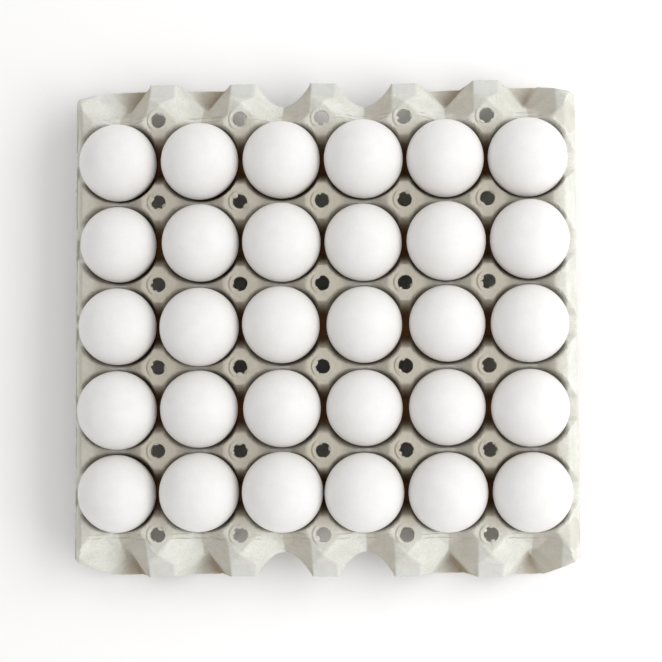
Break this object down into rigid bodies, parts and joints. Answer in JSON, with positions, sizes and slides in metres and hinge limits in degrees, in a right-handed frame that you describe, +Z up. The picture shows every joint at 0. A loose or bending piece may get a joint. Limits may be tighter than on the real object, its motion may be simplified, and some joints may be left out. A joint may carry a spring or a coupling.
{
  "type": "egg tray with eggs",
  "caption": "Open square moulded-pulp egg tray with round cups, hollow posts and finger notches, filled with white hen's eggs standing in the cups.",
  "frame": {"origin": "centre of the tray on the surface it stands on", "axes": "+Z up; +X along the six columns of cups; +Y along the five rows, away from the viewer's side"},
  "size_m": [0.2966, 0.2908, 0.0657],
  "materials": {
    "pulp": "matte grey-green moulded pulp, fibrous",
    "shell": "smooth matte white eggshell"
  },
  "bodies": {
    "root": {"tray": "pulp", "egg_r1_c1": "shell", "egg_r1_c2": "shell", "egg_r1_c3": "shell", "egg_r1_c4": "shell", "egg_r1_c5": "shell", "egg_r1_c6": "shell", "egg_r2_c1": "shell", "egg_r2_c2": "shell", "egg_r2_c3": "shell", "egg_r2_c4": "shell", "egg_r2_c5": "shell", "egg_r2_c6": "shell", "egg_r3_c1": "shell", "egg_r3_c2": "shell", "egg_r3_c3": "shell", "egg_r3_c4": "shell", "egg_r3_c5": "shell", "egg_r3_c6": "shell", "egg_r4_c1": "shell", "egg_r4_c2": "shell", "egg_r4_c3": "shell", "egg_r4_c4": "shell", "egg_r4_c5": "shell", "egg_r4_c6": "shell", "egg_r5_c1": "shell", "egg_r5_c2": "shell", "egg_r5_c3": "shell", "egg_r5_c4": "shell", "egg_r5_c5": "shell", "egg_r5_c6": "shell"}
  },
  "joints": []
}
